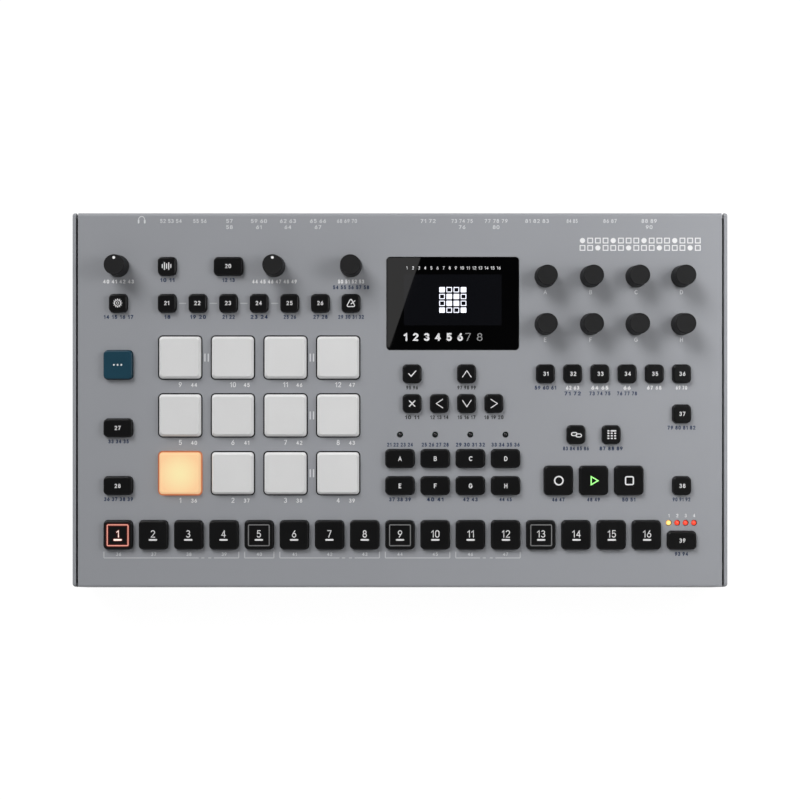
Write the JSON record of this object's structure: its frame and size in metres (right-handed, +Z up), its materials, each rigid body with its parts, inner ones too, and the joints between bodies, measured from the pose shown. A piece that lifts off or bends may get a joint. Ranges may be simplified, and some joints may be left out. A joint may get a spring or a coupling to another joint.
{
  "type": "drum machine",
  "caption": "Desktop drum machine: folded grey steel case with a sloping panel of rubber pads, sprung keys, knobs and a display.",
  "frame": {"origin": "on the table under the middle of the whole machine", "axes": "+X along the case to the right, +Y towards the rear sockets, +Z up"},
  "size_m": [0.385, 0.225, 0.0819],
  "materials": {
    "panel_paint": "fine matte powder coat",
    "side_paint": "fine matte powder coat",
    "base_paint": "matte powder coat",
    "window": "polished black window",
    "display": "matte black frame",
    "board": "green solder mask",
    "socket": "moulded black",
    "foot_rubber": "matte rubber",
    "screw_steel": "zinc plated",
    "knob_plastic": "soft matte black",
    "key_plastic": "satin black",
    "function_plastic": "satin teal",
    "pad_rubber": "translucent light grey silicone"
  },
  "bodies": {
    "case": {"base_chassis": "base_paint", "top_panel": "panel_paint", "side_panels": "side_paint", "rear_panel": "base_paint", "display_window": "window", "display_module": "display", "control_board": "board", "main_board": "board", "audio_jacks": "socket", "digital_sockets": "socket", "rubber_feet": "foot_rubber", "fasteners": "screw_steel"},
    "knob_main_volume": {"knob_main_volume": "knob_plastic"},
    "knob_performance": {"knob_performance": "knob_plastic"},
    "knob_track_level": {"knob_track_level": "knob_plastic"},
    "knob_a": {"knob_a": "knob_plastic"},
    "knob_b": {"knob_b": "knob_plastic"},
    "knob_c": {"knob_c": "knob_plastic"},
    "knob_d": {"knob_d": "knob_plastic"},
    "knob_e": {"knob_e": "knob_plastic"},
    "knob_f": {"knob_f": "knob_plastic"},
    "knob_g": {"knob_g": "knob_plastic"},
    "knob_h": {"knob_h": "knob_plastic"},
    "function_key": {"function_key": "function_plastic"},
    "record_key": {"record_key": "key_plastic"},
    "play_key": {"play_key": "key_plastic"},
    "stop_key": {"stop_key": "key_plastic"},
    "mode_keys": {"mode_keys": "key_plastic"},
    "navigation_keys": {"navigation_keys": "key_plastic"},
    "bank_keys": {"bank_keys": "key_plastic"},
    "parameter_keys": {"parameter_keys": "key_plastic"},
    "step_key_1": {"step_key_1": "key_plastic"},
    "step_key_2": {"step_key_2": "key_plastic"},
    "step_key_3": {"step_key_3": "key_plastic"},
    "step_key_4": {"step_key_4": "key_plastic"},
    "step_key_5": {"step_key_5": "key_plastic"},
    "step_key_6": {"step_key_6": "key_plastic"},
    "step_key_7": {"step_key_7": "key_plastic"},
    "step_key_8": {"step_key_8": "key_plastic"},
    "step_key_9": {"step_key_9": "key_plastic"},
    "step_key_10": {"step_key_10": "key_plastic"},
    "step_key_11": {"step_key_11": "key_plastic"},
    "step_key_12": {"step_key_12": "key_plastic"},
    "step_key_13": {"step_key_13": "key_plastic"},
    "step_key_14": {"step_key_14": "key_plastic"},
    "step_key_15": {"step_key_15": "key_plastic"},
    "step_key_16": {"step_key_16": "key_plastic"},
    "pad_1": {"pad_1": "pad_rubber"},
    "pad_2": {"pad_2": "pad_rubber"},
    "pad_3": {"pad_3": "pad_rubber"},
    "pad_4": {"pad_4": "pad_rubber"},
    "pad_5": {"pad_5": "pad_rubber"},
    "pad_6": {"pad_6": "pad_rubber"},
    "pad_7": {"pad_7": "pad_rubber"},
    "pad_8": {"pad_8": "pad_rubber"},
    "pad_9": {"pad_9": "pad_rubber"},
    "pad_10": {"pad_10": "pad_rubber"},
    "pad_11": {"pad_11": "pad_rubber"},
    "pad_12": {"pad_12": "pad_rubber"},
    "power_button": {"power_button": "key_plastic"}
  },
  "joints": [
    {"name": "knob_main_volume_turn", "type": "hinge", "parent": "case", "child": "knob_main_volume", "pos_m": [-0.1655, 0.07404, 0.06632], "axis": [0, -0.1392, 0.9903], "range_deg": [-150, 150]},
    {"name": "knob_performance_turn", "type": "hinge", "parent": "case", "child": "knob_performance", "pos_m": [-0.0738, 0.07404, 0.06632], "axis": [0, -0.1392, 0.9903], "range_deg": [-150, 150]},
    {"name": "knob_track_level_turn", "type": "hinge", "parent": "case", "child": "knob_track_level", "pos_m": [-0.0288, 0.07404, 0.06632], "axis": [0, -0.1392, 0.9903], "continuous": true},
    {"name": "knob_a_turn", "type": "hinge", "parent": "case", "child": "knob_a", "pos_m": [0.0854, 0.0681, 0.06548], "axis": [0, -0.1392, 0.9903], "continuous": true},
    {"name": "knob_b_turn", "type": "hinge", "parent": "case", "child": "knob_b", "pos_m": [0.1121, 0.0681, 0.06548], "axis": [0, -0.1392, 0.9903], "continuous": true},
    {"name": "knob_c_turn", "type": "hinge", "parent": "case", "child": "knob_c", "pos_m": [0.1388, 0.0681, 0.06548], "axis": [0, -0.1392, 0.9903], "continuous": true},
    {"name": "knob_d_turn", "type": "hinge", "parent": "case", "child": "knob_d", "pos_m": [0.1655, 0.0681, 0.06548], "axis": [0, -0.1392, 0.9903], "continuous": true},
    {"name": "knob_e_turn", "type": "hinge", "parent": "case", "child": "knob_e", "pos_m": [0.0854, 0.04037, 0.06158], "axis": [0, -0.1392, 0.9903], "continuous": true},
    {"name": "knob_f_turn", "type": "hinge", "parent": "case", "child": "knob_f", "pos_m": [0.1121, 0.04037, 0.06158], "axis": [0, -0.1392, 0.9903], "continuous": true},
    {"name": "knob_g_turn", "type": "hinge", "parent": "case", "child": "knob_g", "pos_m": [0.1388, 0.04037, 0.06158], "axis": [0, -0.1392, 0.9903], "continuous": true},
    {"name": "knob_h_turn", "type": "hinge", "parent": "case", "child": "knob_h", "pos_m": [0.1655, 0.04037, 0.06158], "axis": [0, -0.1392, 0.9903], "continuous": true},
    {"name": "function_key_press", "type": "slide", "parent": "case", "child": "function_key", "axis": [0, 0.1392, -0.9903], "range_m": [0, 0.0012], "stiffness_N_per_m": 1200},
    {"name": "record_key_press", "type": "slide", "parent": "case", "child": "record_key", "axis": [0, 0.1392, -0.9903], "range_m": [0, 0.0012], "stiffness_N_per_m": 1200},
    {"name": "play_key_press", "type": "slide", "parent": "case", "child": "play_key", "axis": [0, 0.1392, -0.9903], "range_m": [0, 0.0012], "stiffness_N_per_m": 1200},
    {"name": "stop_key_press", "type": "slide", "parent": "case", "child": "stop_key", "axis": [0, 0.1392, -0.9903], "range_m": [0, 0.0012], "stiffness_N_per_m": 1200},
    {"name": "mode_keys_press", "type": "slide", "parent": "case", "child": "mode_keys", "axis": [0, 0.1392, -0.9903], "range_m": [0, 0.0012], "stiffness_N_per_m": 1200},
    {"name": "navigation_keys_press", "type": "slide", "parent": "case", "child": "navigation_keys", "axis": [0, 0.1392, -0.9903], "range_m": [0, 0.0012], "stiffness_N_per_m": 1200},
    {"name": "bank_keys_press", "type": "slide", "parent": "case", "child": "bank_keys", "axis": [0, 0.1392, -0.9903], "range_m": [0, 0.0012], "stiffness_N_per_m": 1200},
    {"name": "parameter_keys_press", "type": "slide", "parent": "case", "child": "parameter_keys", "axis": [0, 0.1392, -0.9903], "range_m": [0, 0.0012], "stiffness_N_per_m": 1200},
    {"name": "step_key_1_press", "type": "slide", "parent": "case", "child": "step_key_1", "axis": [0, 0.1392, -0.9903], "range_m": [0, 0.0012], "stiffness_N_per_m": 1200},
    {"name": "step_key_2_press", "type": "slide", "parent": "case", "child": "step_key_2", "axis": [0, 0.1392, -0.9903], "range_m": [0, 0.0012], "stiffness_N_per_m": 1200},
    {"name": "step_key_3_press", "type": "slide", "parent": "case", "child": "step_key_3", "axis": [0, 0.1392, -0.9903], "range_m": [0, 0.0012], "stiffness_N_per_m": 1200},
    {"name": "step_key_4_press", "type": "slide", "parent": "case", "child": "step_key_4", "axis": [0, 0.1392, -0.9903], "range_m": [0, 0.0012], "stiffness_N_per_m": 1200},
    {"name": "step_key_5_press", "type": "slide", "parent": "case", "child": "step_key_5", "axis": [0, 0.1392, -0.9903], "range_m": [0, 0.0012], "stiffness_N_per_m": 1200},
    {"name": "step_key_6_press", "type": "slide", "parent": "case", "child": "step_key_6", "axis": [0, 0.1392, -0.9903], "range_m": [0, 0.0012], "stiffness_N_per_m": 1200},
    {"name": "step_key_7_press", "type": "slide", "parent": "case", "child": "step_key_7", "axis": [0, 0.1392, -0.9903], "range_m": [0, 0.0012], "stiffness_N_per_m": 1200},
    {"name": "step_key_8_press", "type": "slide", "parent": "case", "child": "step_key_8", "axis": [0, 0.1392, -0.9903], "range_m": [0, 0.0012], "stiffness_N_per_m": 1200},
    {"name": "step_key_9_press", "type": "slide", "parent": "case", "child": "step_key_9", "axis": [0, 0.1392, -0.9903], "range_m": [0, 0.0012], "stiffness_N_per_m": 1200},
    {"name": "step_key_10_press", "type": "slide", "parent": "case", "child": "step_key_10", "axis": [0, 0.1392, -0.9903], "range_m": [0, 0.0012], "stiffness_N_per_m": 1200},
    {"name": "step_key_11_press", "type": "slide", "parent": "case", "child": "step_key_11", "axis": [0, 0.1392, -0.9903], "range_m": [0, 0.0012], "stiffness_N_per_m": 1200},
    {"name": "step_key_12_press", "type": "slide", "parent": "case", "child": "step_key_12", "axis": [0, 0.1392, -0.9903], "range_m": [0, 0.0012], "stiffness_N_per_m": 1200},
    {"name": "step_key_13_press", "type": "slide", "parent": "case", "child": "step_key_13", "axis": [0, 0.1392, -0.9903], "range_m": [0, 0.0012], "stiffness_N_per_m": 1200},
    {"name": "step_key_14_press", "type": "slide", "parent": "case", "child": "step_key_14", "axis": [0, 0.1392, -0.9903], "range_m": [0, 0.0012], "stiffness_N_per_m": 1200},
    {"name": "step_key_15_press", "type": "slide", "parent": "case", "child": "step_key_15", "axis": [0, 0.1392, -0.9903], "range_m": [0, 0.0012], "stiffness_N_per_m": 1200},
    {"name": "step_key_16_press", "type": "slide", "parent": "case", "child": "step_key_16", "axis": [0, 0.1392, -0.9903], "range_m": [0, 0.0012], "stiffness_N_per_m": 1200},
    {"name": "pad_1_press", "type": "slide", "parent": "case", "child": "pad_1", "axis": [0, 0.1392, -0.9903], "range_m": [0, 0.001], "stiffness_N_per_m": 3000},
    {"name": "pad_2_press", "type": "slide", "parent": "case", "child": "pad_2", "axis": [0, 0.1392, -0.9903], "range_m": [0, 0.001], "stiffness_N_per_m": 3000},
    {"name": "pad_3_press", "type": "slide", "parent": "case", "child": "pad_3", "axis": [0, 0.1392, -0.9903], "range_m": [0, 0.001], "stiffness_N_per_m": 3000},
    {"name": "pad_4_press", "type": "slide", "parent": "case", "child": "pad_4", "axis": [0, 0.1392, -0.9903], "range_m": [0, 0.001], "stiffness_N_per_m": 3000},
    {"name": "pad_5_press", "type": "slide", "parent": "case", "child": "pad_5", "axis": [0, 0.1392, -0.9903], "range_m": [0, 0.001], "stiffness_N_per_m": 3000},
    {"name": "pad_6_press", "type": "slide", "parent": "case", "child": "pad_6", "axis": [0, 0.1392, -0.9903], "range_m": [0, 0.001], "stiffness_N_per_m": 3000},
    {"name": "pad_7_press", "type": "slide", "parent": "case", "child": "pad_7", "axis": [0, 0.1392, -0.9903], "range_m": [0, 0.001], "stiffness_N_per_m": 3000},
    {"name": "pad_8_press", "type": "slide", "parent": "case", "child": "pad_8", "axis": [0, 0.1392, -0.9903], "range_m": [0, 0.001], "stiffness_N_per_m": 3000},
    {"name": "pad_9_press", "type": "slide", "parent": "case", "child": "pad_9", "axis": [0, 0.1392, -0.9903], "range_m": [0, 0.001], "stiffness_N_per_m": 3000},
    {"name": "pad_10_press", "type": "slide", "parent": "case", "child": "pad_10", "axis": [0, 0.1392, -0.9903], "range_m": [0, 0.001], "stiffness_N_per_m": 3000},
    {"name": "pad_11_press", "type": "slide", "parent": "case", "child": "pad_11", "axis": [0, 0.1392, -0.9903], "range_m": [0, 0.001], "stiffness_N_per_m": 3000},
    {"name": "pad_12_press", "type": "slide", "parent": "case", "child": "pad_12", "axis": [0, 0.1392, -0.9903], "range_m": [0, 0.001], "stiffness_N_per_m": 3000},
    {"name": "power_button_push", "type": "slide", "parent": "case", "child": "power_button", "axis": [0, -1, 0], "range_m": [0, 0.003], "stiffness_N_per_m": 400}
  ]
}
